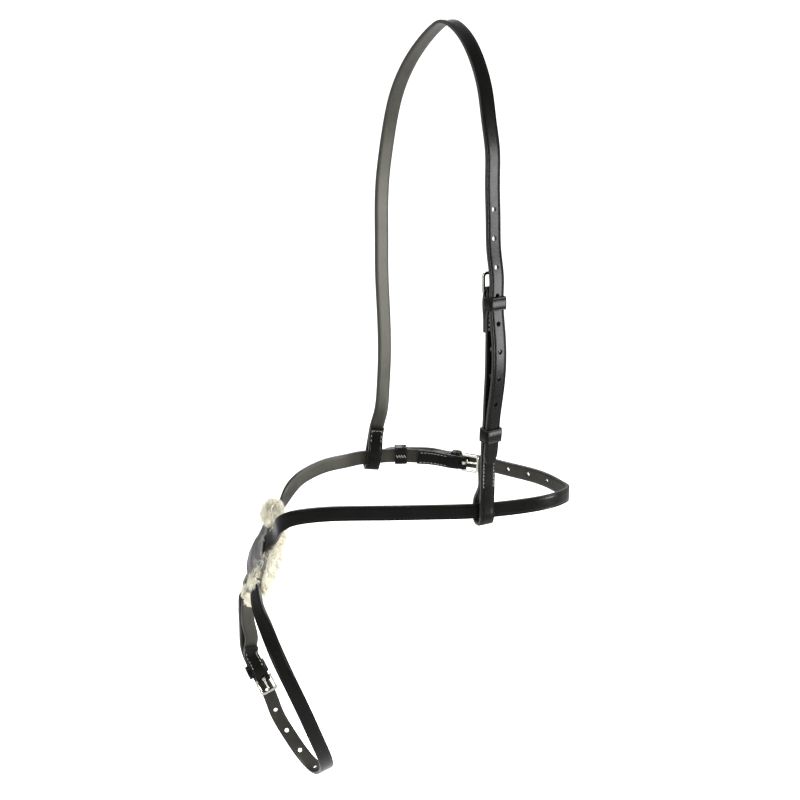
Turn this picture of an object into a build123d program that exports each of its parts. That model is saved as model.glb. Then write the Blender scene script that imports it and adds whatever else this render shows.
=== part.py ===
"""Crossed (figure-eight) leather noseband with a sheepskin nose pad.

Frame: +X towards the horse's jaw, +Y towards its far side, +Z up.  The origin is the underside of
the headstrap where it lies on the poll.  Millimetres.
"""
from build123d import *
import math
import os

# ---- leather -------------------------------------------------------------------------------
STRAP_WIDTH = 13.0
LEATHER = 3.0
SKIVED = 1.8                 # leather pared down where it folds round a buckle bar
FOLD_WIDTH = 12.2
LAYER_GAP = 0.15             # between two layers that are sewn together
HOLE_RADIUS = 1.9
HOLE_PITCH = 22.5
TIP_LENGTH = 13.0

# ---- buckles -------------------------------------------------------------------------------
BAR_RADIUS = 1.2
BAR_CLEARANCE = 0.05
FRAME_WIDTH = 17.5
FRAME_REACH = 14.9           # hinge bar's centre to the outside of the end bar
FRAME_HEEL = 1.7             # how far the side arms pass behind the hinge bar
FRAME_THICKNESS = 2.0
WINDOW_WIDTH = 12.9
END_BAR = 2.5
PRONG_RADIUS = 0.9
PRONG_SLOT = 3.4

# ---- keepers and thread --------------------------------------------------------------------
KEEPER_LEATHER = 1.2
KEEPER_SIDE_CLEARANCE = 0.3
STITCH_LENGTH = 2.6
STITCH_PITCH = 3.8
THREAD = 0.8
STITCH_PROUD = 0.15

# ---- nose pad ------------------------------------------------------------------------------
PAD_CENTRE = (-162, 0, -454)
PAD_OUT = (-0.94, 0, 0.34)   # straight out from the nose
PAD_DOWN = (-0.34, 0, -0.94)
PAD_RADIUS = 60.0            # curve of the backing round the nose
BACKING = 3.0
WOOL = 12.0
COVER = 2.4
CROSSING_HEIGHT = 6.9        # two straps, one over the other
TAB_LEVEL = 3.9              # underside of the tab over one strap

# ---- directions ----------------------------------------------------------------------------
UP = Vector(0, 0, 1)
HEAD_ACROSS = Vector(0.835, 0.55, 0).normalized()
NEAR_LOOP_ACROSS = Vector(0.89, 0.454, 0).normalized()
FAR_LOOP_ACROSS = Vector(0.966, 0.257, 0).normalized()
CHIN_ACROSS = Vector(0.9, 0.29, 0.33).normalized()

# ---- places --------------------------------------------------------------------------------
NEAR_LOOP_CENTRE = (33, -47, -391)
FAR_LOOP_CENTRE = (-62, 80.3, -390)
CHEEK_BAR = (35.3, -55.5, -200)
JAW_BAR = (22, 73.5, -393)
CHIN_BAR = (-165, 34, -595)

os.makedirs("parts", exist_ok=True)


class Seat:
    """A local frame on a strap: x along it, y across it, n out of its outer face."""

    def __init__(self, origin, along, across, side=1):
        self.origin = Vector(*origin)
        self.along = Vector(*along).normalized()
        across = Vector(*across)
        self.across = (across - self.along * across.dot(self.along)).normalized()
        self.out = self.across.cross(self.along) * side

    def at(self, x, n=0.0, y=0.0):
        return self.origin + self.along * x + self.across * y + self.out * n

    def flat(self):
        """Plane of the strap's face: x along, z out."""
        return Plane(origin=self.origin, x_dir=self.along, z_dir=self.out)


def knot(point, across, width=STRAP_WIDTH, thick=LEATHER):
    return Vector(*point), Vector(*across), width, thick


def seat_knots(seat, shape):
    """Knots for a bend given in a seat's own x and n, with optional width and thickness."""
    return [knot(seat.at(x, n, *size[2:]), seat.across, *size[:2]) for x, n, *size in shape]


def tip(route, from_start=True):
    """Add the narrowing knots of a billet's tongue-shaped tip to one end of a route."""
    end, beside = (route[0], route[1]) if from_start else (route[-1], route[-2])
    away = (end[0] - beside[0]).normalized()
    taper = [(0.45, 0.94), (0.8, 0.66), (1.0, 0.3)]
    added = [(end[0] + away * TIP_LENGTH * reach, end[1], STRAP_WIDTH * share, LEATHER)
             for reach, share in taper]
    return added[::-1] + route if from_start else route + added


def strap(route):
    """A closed strap through its knots, and the line along its middle."""
    points = [k[0] for k in route]
    travelled = [0.0]
    for a, b in zip(points, points[1:]):
        travelled.append(travelled[-1] + (b - a).length)
    steps = [d / travelled[-1] for d in travelled]
    middle = Edge.make_spline(points, parameters=steps)
    corners = [[], [], [], []]
    for (point, across, width, thick), step in zip(route, steps):
        tangent = middle.tangent_at(step, PositionMode.PARAMETER)
        side = (across - tangent * across.dot(tangent)).normalized()
        face = side.cross(tangent)
        for corner, (s, f) in zip(corners, ((-1, -1), (1, -1), (1, 1), (-1, 1))):
            corner.append(point + side * (s * width / 2) + face * (f * thick / 2))
    edges = [Edge.make_spline(corner, parameters=steps) for corner in corners]
    sides = [Face.make_surface_from_curves(edges[i], edges[(i + 1) % 4]) for i in range(4)]
    ends = [Face(Wire.make_polygon([c[i] for c in corners], close=True)) for i in (0, -1)]
    return Solid(Shell(sides + ends)), middle


def punch(solid, middle, across, first, count):
    """Punch a row of round holes, starting the given distance along the strap's middle."""
    for i in range(count):
        place = first + i * HOLE_PITCH
        point = middle.position_at(place, PositionMode.LENGTH)
        tangent = middle.tangent_at(place, PositionMode.LENGTH)
        drill = Plane(origin=point, z_dir=across.cross(tangent)) * Cylinder(HOLE_RADIUS, 4 * LEATHER)
        solid = solid - drill
    return solid


def buckle_fold(*end):
    """Strap end round a buckle's hinge bar: outer layer, skived fold, turn-back to its end knots."""
    together = (LEATHER + LAYER_GAP) / 2
    fold = BAR_RADIUS + BAR_CLEARANCE + SKIVED / 2
    slant = fold * math.sqrt(0.5)
    half = [(-28, together), (-22, 1.65), (-16.5, 2.3, STRAP_WIDTH, 2.9), (-6, 2.35, 12.6, 2.7),
            (-2, fold + 0.05, FOLD_WIDTH, SKIVED + 0.05), (0.3, fold, FOLD_WIDTH, SKIVED),
            (slant, slant, FOLD_WIDTH, SKIVED)]
    nose = [(fold, 0, FOLD_WIDTH, SKIVED)]
    back = [(x, -n, *size) for x, n, *size in half[::-1]]
    return half + nose + back + [(x, n, STRAP_WIDTH, LEATHER - 0.2 * i, y) for i, (x, n, y) in enumerate(end)]


def slotted(solid, seat):
    """Cut the prong's slot through the fold."""
    return solid - seat.flat() * Pos(-0.2, 0, 0) * Box(8.6, PRONG_SLOT, 12)


def loop_shape(half_gap, stitched_from, end, above):
    """Strap end round another strap, in x upwards and n outwards: down outside, up inside."""
    leg = half_gap + LEATHER / 2
    sewn = leg - LEATHER - LAYER_GAP
    down = [(above, leg), ((above + 14) / 2, leg), (14, leg), (2, leg), (-6.5, leg - 0.1), (-9.7, 0.71 * leg)]
    up = [(x, -n) for x, n in down[::-1][:3]]
    middle = (stitched_from + 8) / 2
    closing = [(8, -leg + 0.2), (middle, (sewn - leg) / 2), (stitched_from, sewn - 0.1)]
    return down + [(-10.7, 0)] + up + closing + [(stitched_from + 6, sewn), (end, sewn)]


def buckle_frame(seat):
    """Cast frame: two side arms and an end bar in one plate, on a round hinge bar."""
    length = FRAME_REACH + FRAME_HEEL
    plate = Pos((FRAME_REACH - FRAME_HEEL) / 2, 0, 0) * Box(length, FRAME_WIDTH, FRAME_THICKNESS)
    plate = fillet(plate.edges().filter_by(Axis.Z).group_by(Axis.X)[-1], 3.4)
    window = FRAME_REACH - END_BAR
    opening = Pos(window / 2 - 5, 0, 0) * Box(window + 10, WINDOW_WIDTH, 4 * FRAME_THICKNESS)
    opening = fillet(opening.edges().filter_by(Axis.Z).group_by(Axis.X)[-1], 1.6)
    plate = plate - opening
    rims = plate.edges().filter_by(Plane.XY)
    plate = fillet(rims, 0.55)
    bar = Rot(90, 0, 0) * Cylinder(BAR_RADIUS, WINDOW_WIDTH + 2)
    return seat.flat() * (plate + bar)


def buckle_prong(seat):
    """Wire prong: an eye round the hinge bar and a pin that rests on the end bar's outer face."""
    pin_height = FRAME_THICKNESS / 2 + PRONG_RADIUS + 0.25
    eye = Cylinder(BAR_RADIUS + BAR_CLEARANCE + 1.0, 2.6) - Cylinder(BAR_RADIUS + BAR_CLEARANCE, 4)
    eye = Rot(90, 0, 0) * eye
    bends = [Vector(1.5, 0, 1.2), Vector(10.5, 0, pin_height), Vector(FRAME_REACH - 0.2, 0, pin_height)]
    pin = Pos(*bends[-1]) * Sphere(PRONG_RADIUS) + Pos(*bends[1]) * Sphere(PRONG_RADIUS)
    for a, b in zip(bends, bends[1:]):
        pin = pin + Plane(origin=(a + b) / 2, z_dir=b - a) * Cylinder(PRONG_RADIUS, (b - a).length)
    pin = pin - Rot(90, 0, 0) * Cylinder(BAR_RADIUS + BAR_CLEARANCE, 4)
    return seat.flat() * (eye + pin)


def keeper(seat, start, length, inside, outside, shift=0.0, spare=0.0):
    """Closed leather band; inside and outside are the levels of its two inner faces."""
    half = STRAP_WIDTH / 2 + KEEPER_SIDE_CLEARANCE + spare
    depth = outside - inside
    wall = KEEPER_LEATHER
    middle = (inside + outside) / 2
    with BuildSketch() as section:
        RectangleRounded(2 * (half + wall), depth + 2 * wall, 1.8)
        RectangleRounded(2 * half, depth, 0.6, mode=Mode.SUBTRACT)
    plane = Plane(origin=seat.at(start, middle, shift), x_dir=seat.across, z_dir=seat.along)
    return plane * extrude(section.sketch, length)


def stitches(seat, rows, first, last, low, high, turned=False):
    """Threads through the layers: one short block per stitch, proud of both faces."""
    blocks = []
    count = int(abs(last - first) / STITCH_PITCH) + 1
    height = high - low + 2 * STITCH_PROUD
    for row in rows:
        for i in range(count):
            place = first + math.copysign(i * STITCH_PITCH, last - first)
            x, y = (row, place) if turned else (place, row)
            size = (THREAD, STITCH_LENGTH) if turned else (STITCH_LENGTH, THREAD)
            block = Box(*size, height)
            blocks.append(seat.flat() * Pos(x, y, (low + high) / 2) * block)
    return Compound(children=blocks)


def keeper_stitches(seat, inside):
    """The four threads across a running keeper's butt joint, on its inner face."""
    face = inside - KEEPER_LEATHER
    return stitches(seat, (0,), -3.8, 3.8, face, face + 0.7)


def pad_seat_point(y, h, off):
    """Point over the pad: y round the nose, h down the nose, off out of the backing's face."""
    out, down, side = Vector(*PAD_OUT), Vector(*PAD_DOWN), Vector(0, 1, 0)
    angle = y / PAD_RADIUS
    reach = PAD_RADIUS + off
    return (Vector(*PAD_CENTRE) + out * (reach * math.cos(angle) - PAD_RADIUS)
            + side * (reach * math.sin(angle)) + down * h)


def pad_knots(heading, places):
    """Knots of a strap that lies on the pad and travels in the given (y, h) direction."""
    out, down, side = Vector(*PAD_OUT), Vector(*PAD_DOWN), Vector(0, 1, 0)
    size = math.hypot(*heading)
    run, drop = heading[0] / size, heading[1] / size
    sign = 1 if run > 0 else -1
    knots = []
    for y, h, off in places:
        angle = y / PAD_RADIUS
        round_nose = side * math.cos(angle) - out * math.sin(angle)
        across = (round_nose * drop - down * run) * sign
        knots.append(knot(pad_seat_point(y, h, off), across))
    return knots


def plain_knots(across, *points):
    return [knot(point, across) for point in points]


# ---- seats of the buckles, loops and running keepers ---------------------------------------
cheek = Seat(CHEEK_BAR, (-0.02, 0.05, 1), HEAD_ACROSS)
jaw = Seat(JAW_BAR, (0.93, -0.36, -0.03), UP)
chin = Seat(CHIN_BAR, (0.40, -0.05, -0.91), CHIN_ACROSS)
near_loop = Seat(NEAR_LOOP_CENTRE, UP, NEAR_LOOP_ACROSS)
far_loop = Seat(FAR_LOOP_CENTRE, (0.17, 0.02, 1), FAR_LOOP_ACROSS, side=-1)
cheek_slide = Seat((35.7, -54.7, -320), (0.03, -0.075, 1), HEAD_ACROSS)
jaw_slide = Seat((-36, 83.2, -389.5), (1, 0.05, 0), UP)

# ---- headstrap -----------------------------------------------------------------------------
NEAR_LOOP_END = 46.0
FAR_LOOP_END = 28.5
head_route = plain_knots(
    HEAD_ACROSS,
    (37.4, -57.0, -334), (38.0, -58.3, -322), (38.5, -59.3, -309), (40.6, -62, -285),
    (42, -64, -256), (41, -63.2, -235))
head_route += [knot(cheek.at(-10.5, 6.2), HEAD_ACROSS), knot(cheek.at(-3, 6.4), HEAD_ACROSS),
               knot(cheek.at(9, 6.8), HEAD_ACROSS)]
head_route += plain_knots(
    HEAD_ACROSS,
    (36.5, -58.5, -170), (35.5, -55, -145), (34.5, -53.5, -115), (34, -53, -92), (31, -51, -70),
    (28, -46, -48), (22, -37, -26), (15, -26, -11), (7.5, -13, -2), (0, 0, 1.5), (-8, 14, -3.5),
    (-17, 28, -14), (-28, 44, -31), (-39, 61, -57), (-45, 73, -83), (-49, 79, -109),
    (-52, 82, -135), (-53, 83.5, -161), (-53, 84.5, -188), (-53, 85, -215), (-52, 86, -243),
    (-51, 86.5, -271), (-51, 86.5, -299), (-52.3, 86.3, -326))
head_route += [knot((-54.8, 85.8, -349), Vector(0.92, 0.38, 0))]
far_shape = loop_shape(3.0, 20, FAR_LOOP_END, 26)
head_route += seat_knots(far_loop, far_shape)
headstrap, head_middle = strap(tip(head_route))
headstrap = punch(headstrap, head_middle, HEAD_ACROSS, 54, 8)

# ---- cheekpiece ----------------------------------------------------------------------------
cheek_route = seat_knots(cheek, buckle_fold((-34, -1.6, 0))[::-1])
cheek_route += plain_knots(HEAD_ACROSS, (36.9, -58.9, -245), (36.9, -58.2, -270), (36.4, -56.6, -290),
                           (36.0, -55.4, -312), (35.3, -54, -328))
near_shape = loop_shape(4.1, 24, NEAR_LOOP_END, 46)
cheek_route += seat_knots(near_loop, near_shape)
cheekpiece, cheek_middle = strap(cheek_route)
cheekpiece = slotted(cheekpiece, cheek)

# ---- nose strap that starts on the near side and ends in the chin buckle ---------------------
near_route = plain_knots(UP, (-41, 87.2, -389.5), (-30, 87.6, -389.7), (-19, 88.1, -390), (-7, 88.9, -391))
near_route += [knot(jaw.at(x, n), UP) for x, n in ((-20, 5.3), (-9, 6.0), (-1, 6.5), (8, 7.0), (17, 6.2))]
near_route += plain_knots(
    UP, (51, 65.5, -393.5), (63, 55, -393), (82, 38, -392), (96, 22, -392), (105, 9, -393),
    (109, -1, -393), (104, -13, -392), (93, -25, -391), (71, -36, -391), (51, -42.5, -391),
    (33, -47, -391), (12, -49.8, -391), (-10, -51, -391), (-40, -52.5, -391), (-70, -54.5, -390.5),
    (-100, -55.5, -391), (-119, -53.5, -394), (-131, -49, -399), (-139, -41.5, -408))
near_route += pad_knots((59, 80), [(-30, -37, 1.65), (-22, -25, 1.65), (-10, -6.5, 1.65), (2, 10.5, 1.65),
                                   (12, 24, 1.65), (21, 36.5, 1.65)])
near_route += [knot((-175.5, 26.5, -503), (0.6, 0.68, 0.38)), knot((-177.5, 30, -519), (0.66, 0.66, 0.33)),
               knot((-177, 31.8, -537), (0.74, 0.56, 0.33)), knot((-175, 33.6, -554), (0.82, 0.44, 0.33))]
near_route += seat_knots(chin, buckle_fold((-30.5, -2.3, 1.0), (-34, -4.0, 3.0)))
near_nose_strap, near_middle = strap(tip(near_route))
near_nose_strap = slotted(near_nose_strap, chin)
near_nose_strap = punch(near_nose_strap, near_middle, UP, 80, 5)

# ---- nose strap that starts in the jaw buckle and ends as the chin billet --------------------
far_route = seat_knots(jaw, buckle_fold((-33.3, -3.5, 0.5), (-38.3, -6.4, 1.0), (-42, -8.6, 1.4))[::-1])
far_route += plain_knots(
    UP, (-20, 84, -390.5), (-36, 83.2, -389.5), (-50, 82, -389.5), (-62, 80.3, -390), (-74, 77.2, -390),
    (-85, 73, -391), (-95, 67, -391), (-106, 60, -391.5), (-117, 52.5, -394), (-127, 45, -398),
    (-135, 38.5, -405))
far_route += pad_knots((-62, 58), [(28, -38, 1.65), (14, -25, 1.65), (4, -15.8, 2.6), (-2.5, -9.7, 4.8),
                                   (-8.8, -3.8, 5.05), (-15, 2, 4.8), (-21.5, 8, 2.5), (-29, 15, 1.75)])
far_route += [knot((-160, -33, -487), (0.66, -0.42, 0.5)), knot((-155, -36, -501), (0.8, -0.18, 0.45))]
far_route += plain_knots(
    CHIN_ACROSS, (-147, -40, -522), (-135, -42, -552), (-122, -39.5, -586), (-111, -32, -621),
    (-105.5, -22, -644), (-104.5, -12, -659), (-108, -0.5, -671), (-116, 11, -676), (-129, 23, -669),
    (-142, 32, -653.5), (-154, 38.5, -634))
far_route += [knot(chin.at(15, 7.2, -1.5), CHIN_ACROSS), knot(chin.at(6, 7.0, -2), CHIN_ACROSS),
              knot(chin.at(-3, 6.2, -2), CHIN_ACROSS), knot(chin.at(-12, 5.8, -2), CHIN_ACROSS)]
far_route += [knot((-179.4, 40, -568), (0.86, 0.38, 0.33)), knot((-180.2, 35.8, -546), (0.78, 0.52, 0.33)),
              knot((-180.2, 34.1, -530), (0.7, 0.62, 0.33)), knot((-180.3, 32.9, -521.5), (0.67, 0.65, 0.33)),
              knot((-179.9, 31.4, -513), (0.65, 0.66, 0.34))]
far_nose_strap, far_middle = strap(tip(far_route, from_start=False))
far_nose_strap = slotted(far_nose_strap, jaw)
far_nose_strap = punch(far_nose_strap, far_middle, CHIN_ACROSS, 566.8, 5)

# ---- nose pad ------------------------------------------------------------------------------
pad_plane = Plane(origin=PAD_CENTRE, x_dir=PAD_OUT, z_dir=Vector(*PAD_DOWN) * -1)


def pad_layer(low, high, half_width, half_height, centre=(0, 0)):
    """Curved layer between two levels over the backing's face, in the pad's own plane."""
    with BuildSketch(Plane.YZ) as outline:
        with Locations(centre):
            Ellipse(half_width, half_height)
    block = extrude(outline.sketch, 40, both=True)
    shell = Cylinder(PAD_RADIUS + high, 140) - Cylinder(PAD_RADIUS + low, 150)
    return (Pos(-PAD_RADIUS, 0, 0) * shell) & block


def tunnel(heading, through, height):
    """Room for a strap under the cover, in the pad's own plane."""
    angle = math.degrees(math.atan2(heading[1], heading[0]))
    y, z = through
    return Pos(0, y, z) * Rot(angle, 0, 0) * Box(2 * height, 120, STRAP_WIDTH + 2.4)


def pad_seam():
    """Stitches round the backing's edge, left out where a strap or the cover lies on it."""
    half_width, half_height, step = 24.5, 31.5, 10
    blocks = []
    for first, last in ((-30, 0), (140, 150), (190, 270)):
        for angle in range(first, last + 1, step):
            turn = math.radians(angle)
            y, z = half_width * math.cos(turn), half_height * math.sin(turn)
            rise, run = half_height * math.cos(turn), -half_width * math.sin(turn)
            around = Rot(0, 0, math.degrees(y / PAD_RADIUS)) * Pos(PAD_RADIUS - BACKING / 2, 0, 0)
            block = Rot(math.degrees(math.atan2(rise, run)), 0, 0) * Box(BACKING + 0.08, STITCH_LENGTH, THREAD)
            blocks.append(pad_plane * Pos(-PAD_RADIUS, 0, z) * around * block)
    return Compound(children=blocks)


sheepskin = pad_plane * pad_layer(-BACKING - WOOL, -BACKING - 0.05, 35, 42)
pad_backing = pad_plane * pad_layer(-BACKING, 0, 27, 34)
COVER_CENTRE = (3, 7)
pad_cover = pad_layer(0.05, CROSSING_HEIGHT + COVER, 22, 23, COVER_CENTRE)
pad_cover -= pad_layer(-1, CROSSING_HEIGHT, 19.6, 20.6, COVER_CENTRE)
tunnel_room = Pos(-PAD_RADIUS, 0, 0) * Cylinder(PAD_RADIUS + CROSSING_HEIGHT - 0.3, 140)
for heading, through in (((-59, -80), (10, 6.5)), ((62, -58), (8.8, 3.8))):
    pad_cover -= tunnel(heading, through, 40) & tunnel_room
pad_cover = pad_plane * pad_cover
pad_tab = pad_plane * pad_layer(TAB_LEVEL, TAB_LEVEL + COVER, 9, 9.5, (-20, -36))

# ---- everything, one node per piece ----------------------------------------------------------
parts = {
    "headstrap": headstrap,
    "cheekpiece": cheekpiece,
    "near_nose_strap": near_nose_strap,
    "far_nose_strap": far_nose_strap,
    "sheepskin": sheepskin,
    "pad_backing": pad_backing,
    "pad_cover": pad_cover,
    "pad_tab": pad_tab,
}
for name, seat in (("cheek", cheek), ("jaw", jaw), ("chin", chin)):
    parts[name + "_buckle_frame"] = buckle_frame(seat)
    parts[name + "_buckle_prong"] = buckle_prong(seat)
parts["cheek_fixed_keeper"] = keeper(cheek, -15.5, 10.5, 0.6, 8.7)
parts["jaw_fixed_keeper"] = keeper(jaw, -13.0, 8.0, 0.6, 8.2)
parts["chin_fixed_keeper"] = keeper(chin, -15.5, 10.5, 0.6, 7.8, shift=-1.6, spare=1.7)
parts["cheek_running_keeper"] = keeper(cheek_slide, -5.8, 11.6, -1.9, 6.9)
parts["jaw_running_keeper"] = keeper(jaw_slide, -5.6, 11.2, -2.4, 7.0)

# thread: sewn turn-backs, sewn loops, butt joints of the running keepers, pad seam
ROWS = (-4.5, 4.5)
fold_face = LEATHER + LAYER_GAP / 2
parts["cheek_buckle_stitches"] = stitches(cheek, ROWS, -20, -32, -fold_face, fold_face)
parts["jaw_buckle_stitches"] = stitches(jaw, ROWS, -17.5, -21.5, -fold_face, fold_face)
parts["chin_buckle_stitches"] = stitches(chin, ROWS, -20, -31, -fold_face, fold_face)
parts["near_loop_stitches"] = stitches(near_loop, ROWS, 25, 44, 0.85, 7.1)
parts["far_loop_stitches"] = stitches(far_loop, ROWS, 19, 27, -0.25, 6.0)
parts["cheek_keeper_stitches"] = keeper_stitches(cheek_slide, -1.9)
parts["jaw_keeper_stitches"] = keeper_stitches(jaw_slide, -2.4)
parts["pad_stitches"] = pad_seam()

for name, shape in parts.items():
    export_step(shape, f"parts/{name}.step")
    print(name, round(shape.volume), shape.is_valid)
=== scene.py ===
import bmesh
import bpy
import math
import numpy as np
import random
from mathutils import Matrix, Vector


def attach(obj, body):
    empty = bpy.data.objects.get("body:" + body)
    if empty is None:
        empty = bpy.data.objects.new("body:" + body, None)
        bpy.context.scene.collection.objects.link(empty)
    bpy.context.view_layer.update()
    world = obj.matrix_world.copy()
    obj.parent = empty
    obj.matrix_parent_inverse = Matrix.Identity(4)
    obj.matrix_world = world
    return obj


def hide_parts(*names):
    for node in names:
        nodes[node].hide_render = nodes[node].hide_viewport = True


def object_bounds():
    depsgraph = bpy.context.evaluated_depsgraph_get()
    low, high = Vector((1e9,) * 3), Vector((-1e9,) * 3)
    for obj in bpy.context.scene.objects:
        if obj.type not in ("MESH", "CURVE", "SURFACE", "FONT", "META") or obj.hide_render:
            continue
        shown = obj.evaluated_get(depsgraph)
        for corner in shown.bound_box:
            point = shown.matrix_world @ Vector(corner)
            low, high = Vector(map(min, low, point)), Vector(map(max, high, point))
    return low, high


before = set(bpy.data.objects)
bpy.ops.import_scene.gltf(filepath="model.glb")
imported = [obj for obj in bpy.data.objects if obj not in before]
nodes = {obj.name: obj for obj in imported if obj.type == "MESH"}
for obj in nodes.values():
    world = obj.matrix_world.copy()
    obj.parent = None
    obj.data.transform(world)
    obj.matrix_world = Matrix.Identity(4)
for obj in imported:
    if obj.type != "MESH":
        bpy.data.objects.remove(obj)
cad_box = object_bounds()
rng = random.Random(11)
MM = 0.001

# ---- sizes, in millimetres ------------------------------------------------------------------
WIDTH = 13.0
LEATHER = 3.0
SKIVED = 1.8                 # thickness where a strap is pared down to turn round a buckle's bar
FOLD_WIDTH = 12.2
LAYER_GAP = 0.15             # between two layers of a strap that lie on each other
TIP_LENGTH = 13.0
STATION = 1.1                # spacing of the cross-sections along a strap
GIRTH_STATION = 60           # the cross-section that the texture's scale across a strap is taken from
CREASE_FROM_EDGE = 1.5
CREASE_WIDTH = 0.64
CREASE_DEPTH = 0.16
GRAIN_SWELL = 1.02           # the grain face's height between its creases, over half the thickness
HOLE_RADIUS = 1.9
HOLE_PITCH = 22.5
HEAD_HOLES = (54, 8)         # distance of the first hole along the strap, and how many there are
JAW_HOLES = (80, 5)
CHIN_HOLES = (566.8, 5)

BAR_RADIUS = 1.2
BAR_CLEARANCE = 0.05
SLOT_SIZE = (8.6, 3.4, 12)   # of the prong's slot: along the strap, across it, and through it
KEEPER_LEATHER = 1.2
KEEPER_SIDE_CLEARANCE = 0.3
KEEPER_CORNER = 0.5
STITCH_PITCH = 3.1
STITCH_ROW = 4.7             # distance of a row of stitches from the strap's middle
THREAD_RADIUS = 0.42

PAD_CENTRE = Vector((-162, 0, -454))
PAD_OUT = Vector((-0.94, 0, 0.34)).normalized()
PAD_DOWN = Vector((-0.34, 0, -0.94)).normalized()
PAD_RADIUS = 60.0            # of the pad's curve round the nose
ON_PAD = 1.65                # level of the middle of a strap that lies on the pad
BACKING_HALF = (27, 34)      # half widths and half heights of the pad's leather patches
COVER_CENTRE, COVER_HALF = (-3, -7), (22, 23)
TAB_CENTRE, TAB_HALF = (20, 36), (9, 9.5)
COVER_BASE, COVER_LEATHER, COVER_SOFTNESS = 0.15, 2.2, 5.5
PRESSED_FLAT = 6.2           # how far from a strap's middle the soft leather over it lies flat on it
LOCKS = 6500
# Tufts as (middle on the pad, radii, number of locks, a lock's radius): over the top edge, over the far
# strap below the cover, along the cover's near edge, and between the straps at the lower edge.
TUFTS = [((-3, -46, 2), (15, 14, 12), 2300, 0.34), ((-24, 8, 3.5), (10, 14, 4), 700, 0.32),
         ((-19, -12, 0), (8, 22, 5), 700, 0.36), ((2, 36, 0), (9, 8, 5), 400, 0.36)]

SIDE = Vector((0, 1, 0))
UP = Vector((0, 0, 1))
HEAD_ACROSS = Vector((0.835, 0.55, 0)).normalized()
NEAR_LOOP_ACROSS = Vector((0.89, 0.454, 0)).normalized()
FAR_LOOP_ACROSS = Vector((0.966, 0.257, 0)).normalized()
CHIN_ACROSS = Vector((0.9, 0.29, 0.33)).normalized()


# ---- materials ------------------------------------------------------------------------------
class Shader:
    """A material's node tree, with short calls to add to it."""

    def __init__(self, name):
        self.material = bpy.data.materials.new(name)
        self.material.use_nodes = True
        self.tree = self.material.node_tree
        self.surface = self.tree.nodes["Principled BSDF"]
        self.place = self.tree.nodes.new("ShaderNodeTexCoord")

    def node(self, kind):
        return self.tree.nodes.new("ShaderNode" + kind)

    def link(self, start, end):
        self.tree.links.new(start, end)

    def stretched(self, output, scale):
        """Texture coordinates with a scale for each axis."""
        mapping = self.node("Mapping")
        self.link(self.place.outputs[output], mapping.inputs["Vector"])
        mapping.inputs["Scale"].default_value = scale
        return mapping.outputs[0]

    def noise(self, scale, detail=3.0, rough=0.5, vector=None):
        made = self.node("TexNoise")
        made.inputs["Scale"].default_value = scale
        made.inputs["Detail"].default_value = detail
        made.inputs["Roughness"].default_value = rough
        self.link(vector or self.place.outputs["Object"], made.inputs["Vector"])
        return made.outputs["Fac"]

    def cells(self, scale):
        made = self.node("TexVoronoi")
        made.inputs["Scale"].default_value = scale
        self.link(self.place.outputs["Object"], made.inputs["Vector"])
        return made.outputs["Distance"]

    def ramp(self, value, stops):
        """A colour for each value; stops are (value, colour)."""
        made = self.node("ValToRGB")
        elements = made.color_ramp.elements
        while len(elements) < len(stops):
            elements.new(0.5)
        for element, (place, colour) in zip(elements, stops):
            element.position = place
            element.color = (*colour, 1)
        self.link(value, made.inputs[0])
        return made.outputs[0]

    def spread(self, value, low, high):
        """A value from 0 to 1, taken to between low and high."""
        made = self.node("MapRange")
        made.inputs["To Min"].default_value = low
        made.inputs["To Max"].default_value = high
        self.link(value, made.inputs["Value"])
        return made.outputs[0]

    def bump(self, layers):
        """Bumps on bumps; each layer is (height, strength, distance in metres)."""
        normal = None
        for height, strength, distance in layers:
            made = self.node("Bump")
            made.inputs["Strength"].default_value = strength
            made.inputs["Distance"].default_value = distance
            self.link(height, made.inputs["Height"])
            if normal:
                self.link(normal, made.inputs["Normal"])
            normal = made.outputs[0]
        self.link(normal, self.surface.inputs["Normal"])

    def put(self, **values):
        """Set the surface's sockets, to a number or to another node's output."""
        for name, value in values.items():
            socket = self.surface.inputs[name.replace("_", " ")]
            if isinstance(value, bpy.types.NodeSocket):
                self.link(value, socket)
            else:
                socket.default_value = value


def grain_leather():
    s = Shader("leather_grain")
    patches = s.noise(38, 4, 0.6)
    s.put(Base_Color=s.ramp(patches, ((0.3, (0.0008, 0.0008, 0.0007)), (0.7, (0.0022, 0.0021, 0.0018)))),
          Roughness=s.spread(s.noise(160, 4, 0.6), 0.22, 0.34), Specular_IOR_Level=0.045)
    s.bump(((s.cells(1500), 0.16, 0.00012), (s.noise(260, 3), 0.10, 0.0003)))
    return s.material


def flesh_leather():
    s = Shader("leather_flesh")
    fibres = s.noise(1.0, 5, 0.65, s.stretched("UV", (260, 1500, 1)))
    patches = s.noise(60, 3)
    s.put(Base_Color=s.ramp(patches, ((0.3, (0.0045, 0.0043, 0.0034)), (0.7, (0.0098, 0.0093, 0.0073)))),
          Roughness=s.spread(fibres, 0.36, 0.52), Specular_IOR_Level=0.16,
          Specular_Tint=(1.0, 0.98, 0.86, 1))
    s.bump(((fibres, 0.28, 0.0003), (s.noise(900, 4), 0.15, 0.0002)))
    return s.material


def edge_leather():
    s = Shader("leather_edge")
    layers = s.noise(1.0, 4, 0.6, s.stretched("UV", (90, 5200, 1)))
    # The edge's base colour is lighter than the grain face: painted highlight along the cut edges, over the
    # edge's own dark burnished tone.
    s.put(Base_Color=s.ramp(layers, ((0.35, (0.004, 0.0038, 0.0034)), (0.7, (0.016, 0.0155, 0.013)))),
          Roughness=s.spread(layers, 0.30, 0.50), Specular_IOR_Level=0.15)
    s.bump(((layers, 0.2, 0.0002),))
    return s.material


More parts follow.
